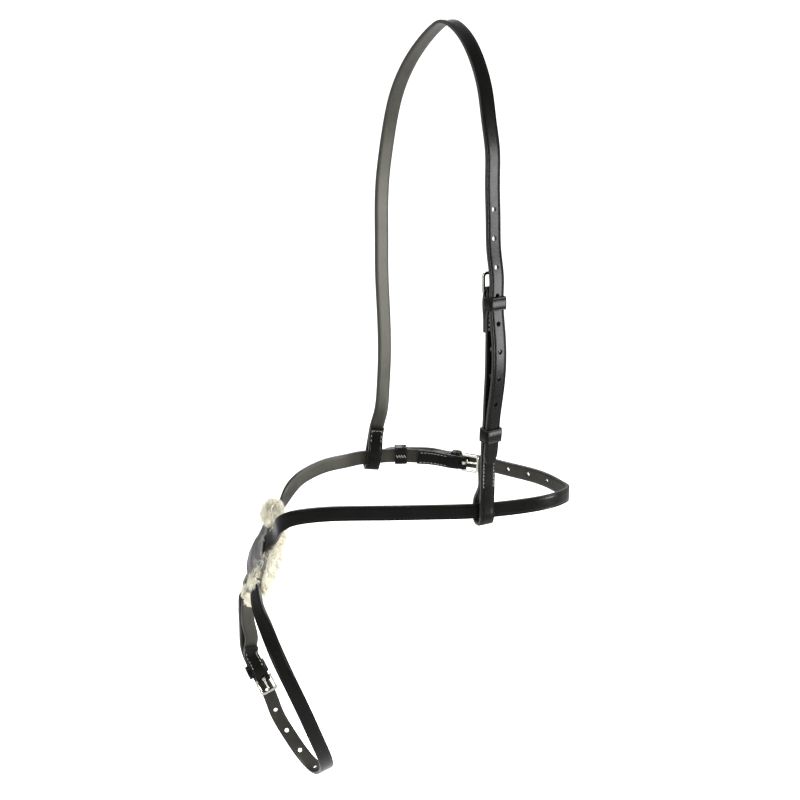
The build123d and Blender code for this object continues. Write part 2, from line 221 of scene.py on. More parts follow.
def worn_leather(name, low, high, rough):
    s = Shader(name)
    patches = s.noise(70, 5, 0.65)
    s.put(Base_Color=s.ramp(patches, ((0.32, low), (0.72, high))),
          Roughness=s.spread(s.noise(220, 4), *rough), Specular_IOR_Level=0.5)
    s.bump(((s.cells(900), 0.25, 0.0003), (s.noise(150, 4), 0.25, 0.0008)))
    return s.material


def steel():
    s = Shader("buckle_steel")
    s.put(Base_Color=s.ramp(s.noise(300, 4), ((0.3, (0.20, 0.197, 0.165)), (0.7, (0.36, 0.355, 0.31)))),
          Metallic=1.0, Roughness=s.spread(s.noise(700, 5, 0.7), 0.10, 0.26))
    s.bump(((s.noise(500, 3), 0.06, 0.0001),))
    return s.material


def wool(name, low, high):
    s = Shader(name)
    s.put(Base_Color=s.ramp(s.noise(150, 4, 0.6), ((0.3, low), (0.65, high))),
          Roughness=s.spread(s.noise(400), 0.72, 0.92), Sheen_Weight=0.35, Sheen_Roughness=0.5,
          Subsurface_Weight=0.12, Subsurface_Scale=0.002)
    s.bump(((s.noise(1400, 4, 0.7), 0.5, 0.0005),))
    return s.material


def waxed_thread():
    s = Shader("waxed_thread")
    plies = s.noise(1.0, 2, 0.5, s.stretched("Object", (2600, 2600, 2600)))
    # The base colour is much lighter than black waxed thread: painted highlight, so each stitch shows as a
    # light dot on the dark leather.
    s.put(Base_Color=s.ramp(plies, ((0.3, (0.03, 0.029, 0.025)), (0.7, (0.10, 0.097, 0.085)))),
          Roughness=s.spread(plies, 0.35, 0.52))
    s.bump(((plies, 0.5, 0.0002),))
    return s.material


GRAIN, FLESH, EDGE = grain_leather(), flesh_leather(), edge_leather()
LEATHERS = (GRAIN, FLESH, EDGE)
GRAIN_SIDE, FLESH_SIDE, EDGE_SIDE = range(3)            # a face's material number in LEATHERS
PATCH_RIM, PATCH_FLESH = 1, 2                           # the same in PATCH_LEATHERS
WOOL_SIDE, HIDE_SIDE = range(2)                         # the same on the sheepskin
PAD_LEATHER = worn_leather("pad_leather", (0.010, 0.0097, 0.009), (0.034, 0.033, 0.030), (0.42, 0.6))
PAD_EDGE = worn_leather("pad_leather_edge", (0.06, 0.058, 0.052), (0.17, 0.165, 0.15), (0.55, 0.75))
PATCH_LEATHERS = (PAD_LEATHER, PAD_EDGE, FLESH)
STEEL = steel()
WOOL = wool("sheepskin_wool", (0.35, 0.33, 0.24), (0.57, 0.55, 0.45))
HIDE = worn_leather("sheepskin_hide", (0.42, 0.39, 0.31), (0.62, 0.59, 0.50), (0.7, 0.85))
THREAD = waxed_thread()


# ---- making objects -------------------------------------------------------------------------
def piece(name, mesh, materials, body, slot, *replaced):
    """An object that rides with a body, has material slots for the materials given and stands in for CAD
    nodes. The slot argument is not used.
    """
    for material in materials:
        mesh.materials.append(material)
    obj = bpy.data.objects.new(name, mesh)
    bpy.context.scene.collection.objects.link(obj)
    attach(obj, body)
    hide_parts(*replaced)
    return obj


def smooth(mesh, angle=40):
    mesh.shade_smooth()
    mesh.set_sharp_from_angle(angle=math.radians(angle))


def mesh_of(name, points, faces, kinds=None, uvs=None):
    """points in millimetres; kinds is each face's material number; uvs has one pair per face corner."""
    mesh = bpy.data.meshes.new(name)
    mesh.from_pydata([tuple(p) for p in np.asarray(points) * MM], [], faces)
    if kinds is not None:
        mesh.polygons.foreach_set("material_index", kinds)
    if uvs is not None:
        layer = mesh.uv_layers.new(name="along_across")
        layer.data.foreach_set("uv", np.asarray(uvs, dtype=float).ravel() * MM)
    bm = bmesh.new()
    bm.from_mesh(mesh)
    bmesh.ops.recalc_face_normals(bm, faces=bm.faces)
    bm.to_mesh(mesh)
    bm.free()
    return mesh


def ring_faces(base, rings, sides):
    """Faces between rings of points that follow one another in the list, the first at base."""
    faces = []
    for i in range(rings - 1):
        a, b = base + i * sides, base + (i + 1) * sides
        faces += [(a + j, a + (j + 1) % sides, b + (j + 1) % sides, b + j) for j in range(sides)]
    return faces


def tube_faces(base, rings, sides):
    """The same with a lid over the first ring and over the last."""
    last = base + (rings - 1) * sides
    return ring_faces(base, rings, sides) + [list(range(base, base + sides))[::-1],
                                             list(range(last, last + sides))]


# ---- smooth lines through knots -------------------------------------------------------------
def end_slope(steps, points):
    """Slope at the first point of the cubic through the first four."""
    slope = np.zeros(3)
    t = steps[:4]
    for i in range(4):
        others = [j for j in range(4) if j != i]
        scale = np.prod([t[i] - t[j] for j in others])
        slope += points[i] / scale * sum(
            np.prod([t[0] - t[k] for k in others if k != j]) for j in others)
    return slope


def slopes(steps, points):
    """Slope at each point of the smoothest cubic line through them, as the CAD kernel draws it."""
    count = len(steps)
    gaps = np.diff(steps)
    matrix = np.zeros((count, count))
    right = np.zeros((count, 3))
    matrix[0, 0] = matrix[-1, -1] = 1
    right[0] = end_slope(steps, points)
    right[-1] = end_slope(steps[::-1], points[::-1])
    for i in range(1, count - 1):
        before, after = gaps[i - 1], gaps[i]
        matrix[i, i - 1:i + 2] = after, 2 * (before + after), before
        right[i] = 3 * (after * (points[i] - points[i - 1]) / before
                        + before * (points[i + 1] - points[i]) / after)
    return np.linalg.solve(matrix, right)


def along_line(steps, points, slope, where):
    """Points of that line at the steps in where."""
    i = np.clip(np.searchsorted(steps, where, side="right") - 1, 0, len(steps) - 2)
    gap = (steps[i + 1] - steps[i])[:, None]
    t = ((where - steps[i]) / gap[:, 0])[:, None]
    return ((2 * t**3 - 3 * t**2 + 1) * points[i] + (t**3 - 2 * t**2 + t) * gap * slope[i]
            + (3 * t**2 - 2 * t**3) * points[i + 1] + (t**3 - t**2) * gap * slope[i + 1])


def unit(v):
    return v / np.linalg.norm(v, axis=-1, keepdims=True)


# ---- seats and routes, as the CAD has them ----------------------------------------------------
class Seat:
    """A local frame on a strap: x along it, y across it, n out of its outer face."""

    def __init__(self, origin, along, across, side=1):
        self.origin = Vector(origin)
        self.along = Vector(along).normalized()
        across = Vector(across)
        self.across = (across - self.along * across.dot(self.along)).normalized()
        self.out = self.across.cross(self.along) * side

    def at(self, x, n=0.0, y=0.0):
        return self.origin + self.along * x + self.across * y + self.out * n


def knot(point, across, width=WIDTH, thick=LEATHER):
    """A place that a strap's middle goes through, with the strap's section there."""
    return Vector(point), Vector(across), width, thick


def seat_knots(seat, shape):
    """Knots from (x, n), (x, n, width, thickness) or (x, n, width, thickness, y) on a seat."""
    return [knot(seat.at(x, n, *size[2:]), seat.across, *size[:2]) for x, n, *size in shape]


def tip(route, from_start=True):
    """The route with a pointed tip added before its start or after its end."""
    end, beside = (route[0], route[1]) if from_start else (route[-1], route[-2])
    away = (end[0] - beside[0]).normalized()
    added = [(end[0] + away * TIP_LENGTH * reach, end[1], WIDTH * share, LEATHER)
             for reach, share in ((0.45, 0.94), (0.8, 0.66), (1.0, 0.3))]
    return added[::-1] + route if from_start else route + added


def buckle_fold(*end):
    """A strap round a buckle's bar at the seat's origin; end is where its turned-back end lies."""
    together = (LEATHER + LAYER_GAP) / 2
    fold = BAR_RADIUS + BAR_CLEARANCE + SKIVED / 2
    slant = fold * math.sqrt(0.5)
    half = [(-28, together), (-22, 1.65), (-16.5, 2.3, WIDTH, 2.9), (-6, 2.35, 12.6, 2.7),
            (-2, fold + 0.05, FOLD_WIDTH, SKIVED + 0.05), (0.3, fold, FOLD_WIDTH, SKIVED),
            (slant, slant, FOLD_WIDTH, SKIVED)]
    back = [(x, -n, *size) for x, n, *size in half[::-1]]
    back += [(x, n, WIDTH, LEATHER - 0.2 * i, y) for i, (x, n, y) in enumerate(end)]
    return half + [(fold, 0, FOLD_WIDTH, SKIVED)] + back


def loop_shape(half_gap, stitched_from, end, above):
    """A strap's end that goes down round another strap and is sewn to its own inner face."""
    leg = half_gap + LEATHER / 2
    sewn = leg - LEATHER - LAYER_GAP
    down = [(above, leg), ((above + 14) / 2, leg), (14, leg), (2, leg),
            (-6.5, leg - 0.1), (-9.7, 0.71 * leg)]
    up = [(x, -n) for x, n in down[::-1][:3]]
    middle = (stitched_from + 8) / 2
    closing = [(8, -leg + 0.2), (middle, (sewn - leg) / 2), (stitched_from, sewn - 0.1)]
    return down + [(-10.7, 0)] + up + closing + [(stitched_from + 6, sewn), (end, sewn)]


def pad_point(y, h, off):
    """The place y mm round the nose, h mm down it and off mm out from the pad's outer face."""
    angle, reach = y / PAD_RADIUS, PAD_RADIUS + off
    return (PAD_CENTRE + PAD_OUT * (reach * math.cos(angle) - PAD_RADIUS)
            + SIDE * (reach * math.sin(angle)) + PAD_DOWN * h)


def pad_knots(heading, places):
    """Knots of a strap that crosses the pad in the direction heading (round, down)."""
    size = math.hypot(*heading)
    run, drop = heading[0] / size, heading[1] / size
    sign = 1 if run > 0 else -1
    knots = []
    for y, h, off in places:
        angle = y / PAD_RADIUS
        round_nose = SIDE * math.cos(angle) - PAD_OUT * math.sin(angle)
        knots.append(knot(pad_point(y, h, off), (round_nose * drop - PAD_DOWN * run) * sign))
    return knots


def plain_knots(across, *points):
    return [knot(point, across) for point in points]


cheek = Seat((35.3, -55.5, -200), (-0.02, 0.05, 1), HEAD_ACROSS)
jaw = Seat((22, 73.5, -393), (0.93, -0.36, -0.03), UP)
chin = Seat((-165, 34, -595), (0.40, -0.05, -0.91), CHIN_ACROSS)
near_loop = Seat((33, -47, -391), UP, NEAR_LOOP_ACROSS)
far_loop = Seat((-62, 80.3, -390), (0.17, 0.02, 1), FAR_LOOP_ACROSS, side=-1)
cheek_slide = Seat((35.7, -54.7, -320), (0.03, -0.075, 1), HEAD_ACROSS)
jaw_slide = Seat((-36, 83.2, -389.5), (1, 0.05, 0), UP)

head_route = plain_knots(
    HEAD_ACROSS,
    (37.4, -57.0, -334), (38.0, -58.3, -322), (38.5, -59.3, -309), (40.6, -62, -285),
    (42, -64, -256), (41, -63.2, -235))
head_route += [knot(cheek.at(x, n), HEAD_ACROSS) for x, n in ((-10.5, 6.2), (-3, 6.4), (9, 6.8))]
head_route += plain_knots(
    HEAD_ACROSS,
    (36.5, -58.5, -170), (35.5, -55, -145), (34.5, -53.5, -115), (34, -53, -92), (31, -51, -70),
    (28, -46, -48), (22, -37, -26), (15, -26, -11), (7.5, -13, -2), (0, 0, 1.5), (-8, 14, -3.5),
    (-17, 28, -14), (-28, 44, -31), (-39, 61, -57), (-45, 73, -83), (-49, 79, -109),
    (-52, 82, -135), (-53, 83.5, -161), (-53, 84.5, -188), (-53, 85, -215), (-52, 86, -243),
    (-51, 86.5, -271), (-51, 86.5, -299), (-52.3, 86.3, -326))
head_route += [knot((-54.8, 85.8, -349), (0.92, 0.38, 0))]
head_route += seat_knots(far_loop, loop_shape(3.0, 20, 28.5, 26))

cheek_route = seat_knots(cheek, buckle_fold((-34, -1.6, 0))[::-1])
cheek_route += plain_knots(HEAD_ACROSS, (36.9, -58.9, -245), (36.9, -58.2, -270), (36.4, -56.6, -290),
                           (36.0, -55.4, -312), (35.3, -54, -328))
cheek_route += seat_knots(near_loop, loop_shape(4.1, 24, 46, 46))

near_route = plain_knots(UP, (-41, 87.2, -389.5), (-30, 87.6, -389.7), (-19, 88.1, -390), (-7, 88.9, -391))
near_route += [knot(jaw.at(x, n), UP) for x, n in ((-20, 5.3), (-9, 6.0), (-1, 6.5), (8, 7.0), (17, 6.2))]
near_route += plain_knots(
    UP, (51, 65.5, -393.5), (63, 55, -393), (82, 38, -392), (96, 22, -392), (105, 9, -393),
    (109, -1, -393), (104, -13, -392), (93, -25, -391), (71, -36, -391), (51, -42.5, -391),
    (33, -47, -391), (12, -49.8, -391), (-10, -51, -391), (-40, -52.5, -391), (-70, -54.5, -390.5),
    (-100, -55.5, -391), (-119, -53.5, -394), (-131, -49, -399), (-139, -41.5, -408))
near_route += pad_knots((59, 80), [(-30, -37, ON_PAD), (-22, -25, ON_PAD), (-10, -6.5, ON_PAD),
                                   (2, 10.5, ON_PAD), (12, 24, ON_PAD), (21, 36.5, ON_PAD)])
near_route += [knot((-175.5, 26.5, -503), (0.6, 0.68, 0.38)), knot((-177.5, 30, -519), (0.66, 0.66, 0.33)),
               knot((-177, 31.8, -537), (0.74, 0.56, 0.33)), knot((-175, 33.6, -554), (0.82, 0.44, 0.33))]
near_route += seat_knots(chin, buckle_fold((-30.5, -2.3, 1.0), (-34, -4.0, 3.0)))

far_route = seat_knots(jaw, buckle_fold((-33.3, -3.5, 0.5), (-38.3, -6.4, 1.0), (-42, -8.6, 1.4))[::-1])
far_route += plain_knots(
    UP, (-20, 84, -390.5), (-36, 83.2, -389.5), (-50, 82, -389.5), (-62, 80.3, -390), (-74, 77.2, -390),
    (-85, 73, -391), (-95, 67, -391), (-106, 60, -391.5), (-117, 52.5, -394), (-127, 45, -398),
    (-135, 38.5, -405))
far_route += pad_knots((-62, 58), [(28, -38, ON_PAD), (14, -25, ON_PAD), (4, -15.8, 2.6), (-2.5, -9.7, 4.8),
                                   (-8.8, -3.8, 5.05), (-15, 2, 4.8), (-21.5, 8, 2.5), (-29, 15, 1.75)])
far_route += [knot((-160, -33, -487), (0.66, -0.42, 0.5)), knot((-155, -36, -501), (0.8, -0.18, 0.45))]
far_route += plain_knots(
    CHIN_ACROSS, (-147, -40, -522), (-135, -42, -552), (-122, -39.5, -586), (-111, -32, -621),
    (-105.5, -22, -644), (-104.5, -12, -659), (-108, -0.5, -671), (-116, 11, -676), (-129, 23, -669),
    (-142, 32, -653.5), (-154, 38.5, -634))
far_route += [knot(chin.at(x, n, y), CHIN_ACROSS)
              for x, n, y in ((15, 7.2, -1.5), (6, 7.0, -2), (-3, 6.2, -2), (-12, 5.8, -2))]
far_route += [knot((-179.4, 40, -568), (0.86, 0.38, 0.33)), knot((-180.2, 35.8, -546), (0.78, 0.52, 0.33)),
              knot((-180.2, 34.1, -530), (0.7, 0.62, 0.33)), knot((-180.3, 32.9, -521.5), (0.67, 0.65, 0.33)),
              knot((-179.9, 31.4, -513), (0.65, 0.66, 0.34))]


# ---- straps ---------------------------------------------------------------------------------
def half_section():
    """Half of a strap's outline as (distance in from the side edge, height, material).

    Heights go from -1 at the flesh face to 1 at the grain face."""
    crease, groove = CREASE_FROM_EDGE, CREASE_WIDTH / 2
    edge = [(0.0, 0.0, EDGE_SIDE), (0.0, 0.55, EDGE_SIDE)]
    grain = [(0.07, 0.8), (0.25, 0.94), (0.6, 1.0), (crease - groove, 1.0),
             (crease, 1 - CREASE_DEPTH / (LEATHER / 2)), (crease + groove, 1.0), (3.5, GRAIN_SWELL)]
    return edge + [(inset, height, GRAIN_SIDE) for inset, height in grain]


def strap_outline():
    """A strap's whole outline as (side, distance in from that side, height, material)."""
    left = half_section()
    below = [(0.0, -0.55, EDGE_SIDE), (0.1, -0.86, EDGE_SIDE),
             (0.45, -1.0, FLESH_SIDE), (3.2, -1.0, FLESH_SIDE)]
    return ([(-1, *p) for p in left] + [(0, 0, GRAIN_SWELL, GRAIN_SIDE)] + [(1, *p) for p in left[::-1]]
            + [(1, *p) for p in below] + [(0, 0, -1.0, FLESH_SIDE)] + [(-1, *p) for p in below[::-1]])


class Strap:
    """A strap swept through its route's knots. grain is +1 or -1: the side its grain face is on."""

    def __init__(self, route, grain):
        points = np.array([k[0] for k in route])
        steps = np.concatenate(([0], np.cumsum(np.linalg.norm(np.diff(points, axis=0), axis=1))))
        steps /= steps[-1]
        middle_slopes = slopes(steps, points)
        tangent = unit(middle_slopes)
        across = np.array([k[1] for k in route])
        side = unit(across - tangent * np.sum(across * tangent, axis=1, keepdims=True))
        face = np.cross(side, tangent) * grain
        half = np.array([[k[2] / 2, k[3] / 2] for k in route])
        fine = np.linspace(0, 1, 6000)
        line = along_line(steps, points, middle_slopes, fine)
        travelled = np.concatenate(([0], np.cumsum(np.linalg.norm(np.diff(line, axis=0), axis=1))))
        self.length = travelled[-1]
        self.s = np.linspace(0, self.length, int(self.length / STATION))
        where = np.interp(self.s, travelled, fine)
        self.corners = []
        for a, b in ((-1, -1), (1, -1), (1, 1), (-1, 1)):
            corner = points + side * half[:, :1] * a + face * half[:, 1:] * b
            self.corners.append(along_line(steps, corner, slopes(steps, corner), where))
        self.corners = np.array(self.corners)
        self.width = np.linalg.norm(self.corners[1] - self.corners[0], axis=1)

    def at(self, s, x, level):
        """Point at distance s, x mm across from the middle; level 1 is the grain face, -1 the flesh."""
        c = [np.array([np.interp(s, self.s, corner[:, i]) for i in range(3)]) for corner in self.corners]
        u = 2 * x / np.interp(s, self.s, self.width)
        low = (c[0] * (1 - u) + c[1] * (1 + u)) / 2
        high = (c[3] * (1 - u) + c[2] * (1 + u)) / 2
        return (low * (1 - level) + high * (1 + level)) / 2

    def axes(self, s, x, level):
        """(along, across, out of the face) at a place on the strap."""
        along = unit(self.at(s + 0.4, x, level) - self.at(s - 0.4, x, level))
        out = unit(self.at(s, x, 1) - self.at(s, x, -1))
        return along, np.cross(along, out), out

    def mesh(self, name):
        outline = strap_outline()
        around = len(outline)
        c0, c1, c2, c3 = self.corners
        shrink = np.minimum(1, self.width / WIDTH)[:, None]
        half = self.width[:, None] / 2
        lines = []
        for side, inset, height, _ in outline:
            u = side * (half - inset * shrink) / half if side else 0 * half
            low = (c0 * (1 - u) + c1 * (1 + u)) / 2
            high = (c3 * (1 - u) + c2 * (1 + u)) / 2
            lines.append((low * (1 - height) + high * (1 + height)) / 2)
        lines = np.array(lines)
        points = lines.transpose(1, 0, 2).reshape(-1, 3)
        sample = lines[:, GIRTH_STATION]
        girth = np.concatenate(([0], np.cumsum(np.linalg.norm(np.diff(sample, axis=0), axis=1))))
        girth = np.append(girth, girth[-1] + 1.0)
        kinds, uvs = [], []
        for s0, s1 in zip(self.s, self.s[1:]):
            for j in range(around):
                kinds.append(max(outline[j][3], outline[(j + 1) % around][3]))
                uvs += [(s0, girth[j]), (s0, girth[j + 1]), (s1, girth[j + 1]), (s1, girth[j])]
        kinds += [EDGE_SIDE, EDGE_SIDE]
        lid = [(0, girth[j]) for j in range(around)]
        uvs += lid[::-1] + lid
        return mesh_of(name, points, tube_faces(0, len(self.s), around), kinds, uvs)


def cut(obj, cutter_mesh):
    """Cut a closed mesh out of a piece, with the cut faces in the edge material."""
    for material in LEATHERS:
        cutter_mesh.materials.append(material)
    cutter = bpy.data.objects.new("cutter", cutter_mesh)
    bpy.context.scene.collection.objects.link(cutter)
    modifier = obj.modifiers.new("cut", "BOOLEAN")
    modifier.operation = "DIFFERENCE"
    modifier.solver = "EXACT"
    modifier.object = cutter
    bpy.context.view_layer.update()
    graph = bpy.context.evaluated_depsgraph_get()
    result = bpy.data.meshes.new_from_object(obj.evaluated_get(graph), preserve_all_data_layers=True,
                                             depsgraph=graph)
    obj.modifiers.clear()
    obj.data = result
    bpy.data.objects.remove(cutter)


def spools(strap, places):
    """Hole cutters: round, a little wider at both faces where the punch rounds the leather."""
    points, faces, sides = [], [], 24
    upper = [(1.25, HOLE_RADIUS), (LEATHER / 2, 2.12), (2.6, 2.9)]
    profile = [(-height, radius) for height, radius in upper[::-1]] + upper
    for place in places:
        along, across, out = strap.axes(place, 0, 0)
        centre = strap.at(place, 0, 0)
        faces += tube_faces(len(points), len(profile), sides)
        for height, radius in profile:
            for j in range(sides):
                turn = 2 * math.pi * j / sides
                way = along * math.cos(turn) + across * math.sin(turn)
                points.append(centre + out * height + way * radius)
    return mesh_of("spools", points, faces, [EDGE_SIDE] * len(faces))


def slot_cutter(seat):
    """The prong's slot through a buckle fold."""
    length, width, depth = SLOT_SIZE
    points = [seat.at(-0.2 + a * length / 2, c * depth / 2, b * width / 2)
              for a in (-1, 1) for b in (-1, 1) for c in (-1, 1)]
    faces = [(0, 1, 3, 2), (4, 6, 7, 5), (0, 4, 5, 1), (2, 3, 7, 6), (0, 2, 6, 4), (1, 5, 7, 3)]
    return mesh_of("slot", points, faces, [EDGE_SIDE] * len(faces))


def hole_row(first, count):
    """Distances of a row of holes along a strap."""
    return [first + i * HOLE_PITCH for i in range(count)]


def make_strap(node, body, route, grain, holes=None, slot_seat=None):
    strap, name = Strap(route, grain), f"{node}_leather"
    obj = piece(name, strap.mesh(name), LEATHERS, body, "leather", node)
    if holes:
        cut(obj, spools(strap, hole_row(*holes)))
    if slot_seat:
        cut(obj, slot_cutter(slot_seat))
    smooth(obj.data)
    return strap


head = make_strap("headstrap", "headpiece", tip(head_route), 1, HEAD_HOLES)
cheekpiece = make_strap("cheekpiece", "headpiece", cheek_route, -1, slot_seat=cheek)
near = make_strap("near_nose_strap", "noseband", tip(near_route), 1, JAW_HOLES, chin)
far = make_strap("far_nose_strap", "noseband", tip(far_route, from_start=False), -1, CHIN_HOLES, jaw)


# ---- thread ---------------------------------------------------------------------------------
def thread_mesh(name, lines):
    """Short closed tubes, each through a list of points, tapered at both ends."""
    points, faces, sides = [], [], 6
    for line in lines:
        line = np.array(line)
        count = len(line)
        faces += tube_faces(len(points), count, sides)
        tangent = unit(np.gradient(line, axis=0))
        across = unit(np.cross(tangent, unit(np.array([0.31, 0.53, 0.79]))))
        lift = np.cross(tangent, across)
        for i in range(count):
            r = THREAD_RADIUS * (0.55 if i in (0, count - 1) else 1)
            for j in range(sides):
                turn = 2 * math.pi * j / sides
                points.append(line[i] + (across[i] * math.cos(turn) + lift[i] * math.sin(turn)) * r)
    mesh = mesh_of(name, points, faces)
    smooth(mesh, 60)
    return mesh


def stitch(strap, s, x, turned=False):
    """One stitch over a strap's grain face: its ends dip into the leather."""
    along, across, out = strap.axes(s, x, 1)
    if turned:
        along = across
    centre = strap.at(s, x, 1)
    bow = [(-1.15, -0.35), (-0.9, 0.05), (-0.3, 0.2), (0.3, 0.2), (0.9, 0.05), (1.15, -0.35)]
    return [centre + along * a + out * b for a, b in bow]


def stitch_rows(strap, first, last):
    """Two rows of stitches along a strap, from one distance to another."""
    count = int((last - first) / STITCH_PITCH) + 1
    return [stitch(strap, s, x) for x in (-STITCH_ROW, STITCH_ROW) for s in np.linspace(first, last, count)]


def sew(name, lines, body, node):
    piece(name, thread_mesh(name, lines), [THREAD], body, "thread", node)


# The layers of a sewn fold or loop, as spans along the strap, and the place of a row across its end.
SEWN = (("cheek_buckle", "headpiece", cheekpiece, (57, 72), (4, 16), None),
        ("near_loop", "headpiece", cheekpiece, (186, 208), (284, 305), 306),
        ("far_loop", "headpiece", head, (782, 793), (857, 866), 867),
        ("jaw_buckle", "noseband", far, (66, 95), (3, 27), None),
        ("chin_buckle", "noseband", near, (661, 680), (717, 731), None))
for place, body, strap, one, other, across in SEWN:
    lines = stitch_rows(strap, *one) + stitch_rows(strap, *other)
    if across:
        lines += [stitch(strap, across, x, turned=True) for x in (-3.1, 0, 3.1)]
    sew(f"{place}_thread", lines, body, f"{place}_stitches")


# ---- keepers --------------------------------------------------------------------------------
def rounded_box(half_width, half_height, corner):
    """The outline of a rounded rectangle as (across, up, outward across, outward up)."""
    turns = 6
    path = []
    for a, b, start in ((1, 1, 0), (-1, 1, 90), (-1, -1, 180), (1, -1, 270)):
        for k in range(turns):
            angle = math.radians(start + 90 / (turns - 1) * k)
            path.append((a * (half_width - corner) + corner * math.cos(angle),
                         b * (half_height - corner) + corner * math.sin(angle),
                         math.cos(angle), math.sin(angle)))
    dense = []
    for i, p in enumerate(path):
        q = path[(i + 1) % len(path)]
        parts = max(1, int(math.hypot(q[0] - p[0], q[1] - p[1]) / 1.5))
        dense += [tuple(p[k] + (q[k] - p[k]) * j / parts for k in range(4)) for j in range(parts)]
    return dense


def keeper_profile(length):
    """A keeper's section along the strap as (distance, height above its inner face, material)."""
    wall, crease, groove = KEEPER_LEATHER, min(1.3, length * 0.16), 0.28
    start = [(0.0, 0.0, EDGE_SIDE), (0.0, wall * 0.6, EDGE_SIDE), (0.12, wall * 0.9, GRAIN_SIDE),
             (0.4, wall, GRAIN_SIDE), (crease - groove, wall, GRAIN_SIDE), (crease, wall - 0.17, GRAIN_SIDE),
             (crease + groove, wall, GRAIN_SIDE)]
    end = [(length - x, z, kind) for x, z, kind in start[::-1]]
    inner = [(length - 0.3, 0.0, FLESH_SIDE), (0.3, 0.0, FLESH_SIDE)]
    return start + [(length / 2, wall + 0.1, GRAIN_SIDE)] + end + inner


def keeper(node, body, seat, start, length, inside, outside, shift=0.0, spare=0.0):
    """A leather band bent into a closed rounded rectangle, creased along both edges.

    It begins at start along the seat, and its opening goes from inside to outside off the seat's middle.
    shift moves it across the strap, and spare widens it at each side."""
    half_width = WIDTH / 2 + KEEPER_SIDE_CLEARANCE + spare
    path = rounded_box(half_width, (outside - inside) / 2, KEEPER_CORNER)
    profile = keeper_profile(length)
    middle, around = (inside + outside) / 2, len(profile)
    points, faces, kinds, uvs = [], [], [], []
    for y, n, ny, nn in path:
        size = math.hypot(ny, nn)
        for x, z, _ in profile:
            points.append(seat.at(start + x, middle + n + nn / size * z, shift + y + ny / size * z))
    for i in range(len(path)):
        for j in range(around):
            k, m = (j + 1) % around, (i + 1) % len(path)
            faces.append((i * around + j, m * around + j, m * around + k, i * around + k))
            kinds.append(profile[j][2] if profile[j][2] == profile[k][2] else EDGE_SIDE)
            uvs += [(i, j), (i + 1, j), (i + 1, j + 1), (i, j + 1)]
    name = f"{node}_leather"
    obj = piece(name, mesh_of(name, points, faces, kinds, uvs), LEATHERS, body, "leather", node)
    smooth(obj.data, 50)


CHEEK_RUNNING_INSIDE, JAW_RUNNING_INSIDE = -1.9, -2.4
keeper("cheek_fixed_keeper", "headpiece", cheek, -15.5, 10.5, 0.6, 8.7)
keeper("jaw_fixed_keeper", "noseband", jaw, -13.0, 8.0, 0.6, 8.2)
keeper("chin_fixed_keeper", "noseband", chin, -15.5, 10.5, 0.6, 7.8, shift=-1.6, spare=1.7)
keeper("cheek_running_keeper", "cheek_keeper", cheek_slide, -5.8, 11.6, CHEEK_RUNNING_INSIDE, 6.9)
keeper("jaw_running_keeper", "jaw_keeper", jaw_slide, -5.6, 11.2, JAW_RUNNING_INSIDE, 7.0)


def butt_joint(body, seat, inside):
    """Zig-zag thread over the joint where a running keeper's two ends meet, on its inner face."""
    level = inside - KEEPER_LEATHER - 0.12
    xs = np.linspace(-4.4, 4.4, 8)
    lines = []
    for i, (x0, x1) in enumerate(zip(xs, xs[1:])):
        y0, y1 = (-1.4, 1.4) if i % 2 else (1.4, -1.4)
        lines.append([seat.at(x0, level + 0.4, y0), seat.at(x0, level, y0 * 0.85),
                      seat.at((x0 + x1) / 2, level - 0.12, 0),
                      seat.at(x1, level, y1 * 0.85), seat.at(x1, level + 0.4, y1)])
    sew(f"{body}_thread", lines, body, f"{body}_stitches")


butt_joint("cheek_keeper", cheek_slide, CHEEK_RUNNING_INSIDE)
butt_joint("jaw_keeper", jaw_slide, JAW_RUNNING_INSIDE)


# ---- buckles --------------------------------------------------------------------------------
for where in ("cheek", "jaw", "chin"):
    for part in ("frame", "prong"):
        node = nodes[f"{where}_buckle_{part}"]
        node.data.materials.clear()
        node.data.materials.append(STEEL)


# ---- nose pad -------------------------------------------------------------------------------
def pad_coordinates(point):
    """(y, h, off) of a point near the pad."""
    d = Vector(point) - PAD_CENTRE
    out, side = d.dot(PAD_OUT) + PAD_RADIUS, d.dot(SIDE)
    return math.atan2(side, out) * PAD_RADIUS, d.dot(PAD_DOWN), math.hypot(out, side) - PAD_RADIUS


def strap_lie(strap):
    """Where a strap's middle lies over the pad, as rows of y, h and the height of its outer face."""
    rows = []
    for s in np.arange(0, strap.length, 1.5):
        y, h, off = pad_coordinates(strap.at(s, 0, 0))
        if abs(y) < 45 and abs(h) < 50 and -2 < off < 12:
            rows.append((y, h, off + LEATHER / 2))
    return np.array(rows)


LIES = [strap_lie(near), strap_lie(far)]


def draped(y, h, soft):
    """Height of soft leather over the straps at a place on the pad; soft is how far its slope runs."""
    top = 0.0
    for rows in LIES:
        reach = np.hypot(rows[:, 0] - y, rows[:, 1] - h)
        i = int(np.argmin(reach))
        t = min(1, max(0, 1 - (reach[i] - PRESSED_FLAT) / soft))
        top = max(top, rows[i, 2] * t * t * (3 - 2 * t))
    return top


